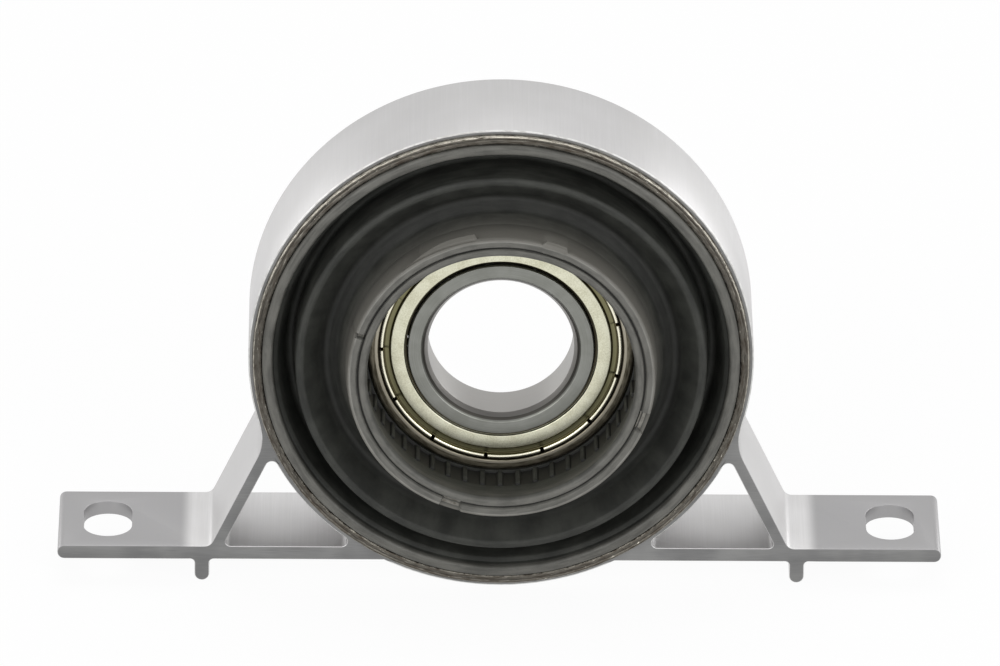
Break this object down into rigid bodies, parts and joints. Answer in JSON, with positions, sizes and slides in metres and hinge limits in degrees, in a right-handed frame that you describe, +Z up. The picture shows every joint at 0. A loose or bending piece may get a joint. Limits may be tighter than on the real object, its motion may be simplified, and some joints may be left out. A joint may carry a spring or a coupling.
{
  "type": "driveshaft centre bearing",
  "caption": "Ball bearing held by a folded rubber web in the ring of a slotted aluminium carrier; supports the middle of a two-piece driveshaft.",
  "frame": {"origin": "centre of the bearing's bore, halfway along it", "axes": "+Y along the shaft away from the collar's open end, +Z up from the foot, +X along the foot"},
  "size_m": [0.182, 0.0344, 0.1036],
  "materials": {
    "aluminium": "as extruded, sawn ends",
    "sleeve_steel": "dull, with dried bonding agent and scratches",
    "rubber": "moulded, matt",
    "hub_steel": "dull",
    "bearing_steel": "ground",
    "shield_steel": "yellow zinc plated",
    "cage_steel": "pressed sheet",
    "ball_steel": "polished"
  },
  "bodies": {
    "bracket": {"bracket": "aluminium", "outer_sleeve": "sleeve_steel"},
    "hub": {"rubber_mount": "rubber", "hub_sleeve": "hub_steel", "bearing_outer_ring": "bearing_steel", "front_shield": "shield_steel", "rear_shield": "shield_steel"},
    "inner_ring": {"bearing_inner_ring": "bearing_steel"},
    "cage": {"cage_front": "cage_steel", "cage_rear": "cage_steel", "cage_rivets": "cage_steel"},
    "ball_01": {"ball_01": "ball_steel"},
    "ball_02": {"ball_02": "ball_steel"},
    "ball_03": {"ball_03": "ball_steel"},
    "ball_04": {"ball_04": "ball_steel"},
    "ball_05": {"ball_05": "ball_steel"},
    "ball_06": {"ball_06": "ball_steel"},
    "ball_07": {"ball_07": "ball_steel"},
    "ball_08": {"ball_08": "ball_steel"},
    "ball_09": {"ball_09": "ball_steel"},
    "ball_10": {"ball_10": "ball_steel"},
    "ball_11": {"ball_11": "ball_steel"}
  },
  "joints": [
    {"name": "hub_float", "type": "slide", "parent": "bracket", "child": "hub", "axis": [0, 1, 0], "range_m": [-0.003, 0.003], "stiffness_N_per_m": 20000, "deforming": ["rubber_mount"]},
    {"name": "shaft_spin", "type": "hinge", "parent": "hub", "child": "inner_ring", "pos_m": [0, 0, 0], "axis": [0, 1, 0], "continuous": true},
    {"name": "cage_orbit", "type": "hinge", "parent": "hub", "child": "cage", "pos_m": [0, 0, 0], "axis": [0, 1, 0], "continuous": true},
    {"name": "ball_01_roll", "type": "hinge", "parent": "cage", "child": "ball_01", "pos_m": [0.02125, 0, 0], "axis": [0, 1, 0], "continuous": true},
    {"name": "ball_02_roll", "type": "hinge", "parent": "cage", "child": "ball_02", "pos_m": [0.01788, 0, 0.01149], "axis": [0, 1, 0], "continuous": true},
    {"name": "ball_03_roll", "type": "hinge", "parent": "cage", "child": "ball_03", "pos_m": [0.00883, 0, 0.01933], "axis": [0, 1, 0], "continuous": true},
    {"name": "ball_04_roll", "type": "hinge", "parent": "cage", "child": "ball_04", "pos_m": [-0.00302, 0, 0.02103], "axis": [0, 1, 0], "continuous": true},
    {"name": "ball_05_roll", "type": "hinge", "parent": "cage", "child": "ball_05", "pos_m": [-0.01392, 0, 0.01606], "axis": [0, 1, 0], "continuous": true},
    {"name": "ball_06_roll", "type": "hinge", "parent": "cage", "child": "ball_06", "pos_m": [-0.02039, 0, 0.00599], "axis": [0, 1, 0], "continuous": true},
    {"name": "ball_07_roll", "type": "hinge", "parent": "cage", "child": "ball_07", "pos_m": [-0.02039, 0, -0.00599], "axis": [0, 1, 0], "continuous": true},
    {"name": "ball_08_roll", "type": "hinge", "parent": "cage", "child": "ball_08", "pos_m": [-0.01392, 0, -0.01606], "axis": [0, 1, 0], "continuous": true},
    {"name": "ball_09_roll", "type": "hinge", "parent": "cage", "child": "ball_09", "pos_m": [-0.00302, 0, -0.02103], "axis": [0, 1, 0], "continuous": true},
    {"name": "ball_10_roll", "type": "hinge", "parent": "cage", "child": "ball_10", "pos_m": [0.00883, 0, -0.01933], "axis": [0, 1, 0], "continuous": true},
    {"name": "ball_11_roll", "type": "hinge", "parent": "cage", "child": "ball_11", "pos_m": [0.01788, 0, -0.01149], "axis": [0, 1, 0], "continuous": true}
  ],
  "couplings": [
    {"joint": "cage_orbit", "follows": "shaft_spin", "ratio": 0.41595},
    {"joint": "ball_01_roll", "follows": "shaft_spin", "ratio": -2.8905},
    {"joint": "ball_02_roll", "follows": "shaft_spin", "ratio": -2.8905},
    {"joint": "ball_03_roll", "follows": "shaft_spin", "ratio": -2.8905},
    {"joint": "ball_04_roll", "follows": "shaft_spin", "ratio": -2.8905},
    {"joint": "ball_05_roll", "follows": "shaft_spin", "ratio": -2.8905},
    {"joint": "ball_06_roll", "follows": "shaft_spin", "ratio": -2.8905},
    {"joint": "ball_07_roll", "follows": "shaft_spin", "ratio": -2.8905},
    {"joint": "ball_08_roll", "follows": "shaft_spin", "ratio": -2.8905},
    {"joint": "ball_09_roll", "follows": "shaft_spin", "ratio": -2.8905},
    {"joint": "ball_10_roll", "follows": "shaft_spin", "ratio": -2.8905},
    {"joint": "ball_11_roll", "follows": "shaft_spin", "ratio": -2.8905}
  ]
}
